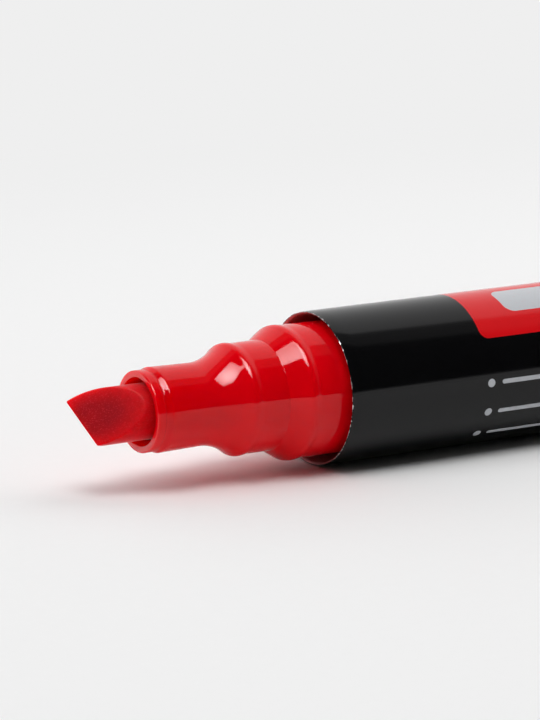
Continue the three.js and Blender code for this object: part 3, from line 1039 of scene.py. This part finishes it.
def makeFloor():
    size = studio["floorSize"]
    points = np.array([(-size, -size, 0), (size, -size, 0), (size, size, 0), (-size, size, 0)]) / mm
    points[:, 2] = -studio["floorDrop"]
    material, tree, shader, where = newMaterial("paleTable")
    level = studio["backgroundLevel"]
    fibre = noiseAt(tree, where, studio["floorFibreScale"])
    colour = studio["floorColour"]
    shade = colour * studio["floorShade"]
    feedNode(tree, shader, {
        "Base Color": mixColours(tree, fibre, (colour, colour, colour, 1), (shade, shade, shade, 1)),
        "Roughness": studio["floorRoughness"],
        "Specular IOR Level": 0.0,
    })
    # Away from the marker the table takes on the plain background colour for what is seen or mirrored.
    away = calculateVectors(tree, "LENGTH", stretched(tree, where, (0.6, 1.0, 1.0)))
    plain = ramp(tree, away, studio["plainFrom"], studio["plainTo"])
    rays = addNode(tree, "ShaderNodeLightPath").outputs
    seen = calculate(tree, "MAXIMUM", rays["Is Camera Ray"], rays["Is Glossy Ray"])
    seen = calculate(tree, "MAXIMUM", seen, rays["Is Transmission Ray"])
    flat = addNode(tree, "ShaderNodeEmission", {"Color": (level, level, level, 1), "Strength": 1.0})
    share = calculate(tree, "MULTIPLY", plain, seen)
    mixed = addNode(tree, "ShaderNodeMixShader", {0: share, 1: shader.outputs[0], 2: flat.outputs[0]})
    tree.links.new(mixed.outputs[0], tree.nodes["Material Output"].inputs["Surface"])
    quad, noFans = np.array([[0, 1, 2, 3]]), np.zeros((0, 3), dtype=int)
    floor = surfaceObject("table", points, quad, noFans, None, material)


def makeDarkSide():
    # Unlit side of the room: the part of a dome that lies on the camera's side of a line overhead. At
    # azimuth a its lower rim has the elevation whose tangent is (line direction . a) / line distance.
    rows, columns = studio["domeRows"], studio["domeColumns"]
    edgeX, edgeY = studio["edgeDirection"]
    azimuth = 2 * math.pi * np.arange(columns) / columns
    toward = np.cos(azimuth) * edgeX + np.sin(azimuth) * edgeY
    rim = np.arctan(np.maximum(toward, 0) / studio["edgeDistance"])
    share = np.linspace(0, studio["domeTop"], rows)[:, None]
    elevation = rim + (math.pi / 2 - rim) * share
    radius = studio["domeRadius"] / mm
    points = radius * np.stack([
        np.cos(elevation) * np.cos(azimuth),
        np.cos(elevation) * np.sin(azimuth),
        np.sin(elevation),
    ], axis=-1)
    points = points + np.array(noseMiddle) / mm
    centre = np.array([[0, 0, radius]]) + np.array(noseMiddle) / mm
    # Only the top has a pole, and its point comes right after the grid's.
    quads, fans = gridFaces(rows, columns, ring=False)
    fans = fans[columns:] - 1
    points = np.vstack([points.reshape(-1, 3), centre])
    material, tree, shader, where = newMaterial("unlitRoom")
    direction = calculateVectors(tree, "SUBTRACT", where, noseMiddle, "Vector")
    place = addNode(tree, "ShaderNodeSeparateXYZ", {0: direction}).outputs
    shares = [calculate(tree, "MULTIPLY", place[axis], part) for axis, part in (("X", edgeX), ("Y", edgeY))]
    toEdge = calculate(tree, "DIVIDE", calculate(tree, "ADD", *shares), place["Z"])
    dim, blur = studio["dimDistance"], studio["dimBlur"]
    feedNode(tree, shader, {
        "Base Color": (0, 0, 0, 1),
        "Specular IOR Level": 0.0,
        "Emission Color": (1, 1, 1, 1),
        "Emission Strength": ramp(tree, toEdge, dim - blur, dim + blur, 0.0, studio["dimLevel"]),
    })
    dome = surfaceObject("unlitRoom", points, quads, fans, None, material)
    dome.visible_camera = dome.visible_shadow = False


def makeLamps():
    # Soft lamps, and the bright face of a softbox that glossy surfaces mirror.
    for k, (azimuth, elevation, spread, strength) in enumerate(studio["softLamps"]):
        data = bpy.data.lights.new("softLamp%d" % (k + 1), "SUN")
        data.angle = math.radians(spread)
        data.energy = strength
        data.cycles.use_multiple_importance_sampling = False  # the unlit side would hide part of the lamp
        lamp = addObject(data.name, data)
        lamp.rotation_euler = (0, math.radians(90 - elevation), math.radians(azimuth))
        lamp.visible_glossy = False
    height = studio["lampHeight"] / mm
    corners = np.array([(u * height, v * height, height) for u, v in studio["lampCorners"]])
    corners = corners + np.array(noseMiddle) / mm
    material, tree, _, where = newMaterial("softboxFace")
    apart = calculateVectors(tree, "DISTANCE", where, Vector(corners.mean(axis=0) * mm))
    level = ramp(tree, apart, 0, studio["lampFade"], studio["lampRadiance"], studio["lampRimRadiance"])
    glow = addNode(tree, "ShaderNodeEmission", {"Color": (1, 1, 1, 1), "Strength": level})
    tree.links.new(glow.outputs[0], tree.nodes["Material Output"].inputs["Surface"])
    quad, fans = np.array([[0, 1, 2, 3]]), np.array([[0, 3, 4]])
    face = surfaceObject("softboxFace", corners, quad, fans, None, material)
    face.visible_camera = face.visible_diffuse = face.visible_shadow = False


def makeWorld():
    world = bpy.data.worlds.new("paleStudio")
    world.use_nodes = True
    bpy.context.scene.world = world
    level = studio["backgroundLevel"]
    world.node_tree.nodes["Background"].inputs["Color"].default_value = (level, level, level, 1)
    world.node_tree.nodes["Background"].inputs["Strength"].default_value = 1.0


def makeCamera():
    data = bpy.data.cameras.new("photoCamera")
    data.sensor_width = photoView["sensorWidth"]
    data.lens = photoView["lens"]
    data.clip_start, data.clip_end = photoView["nearest"], photoView["farthest"]
    camera = addObject("photoCamera", data)
    camera.location = photoView["place"]
    camera.rotation_mode = "QUATERNION"
    camera.rotation_quaternion = Vector(photoView["direction"]).to_track_quat("-Z", "Y")
    bpy.context.scene.camera = camera


makeFloor()
makeDarkSide()
makeLamps()
makeWorld()
makeCamera()
bpy.context.scene.view_settings.view_transform = "Standard"
print("studio made")
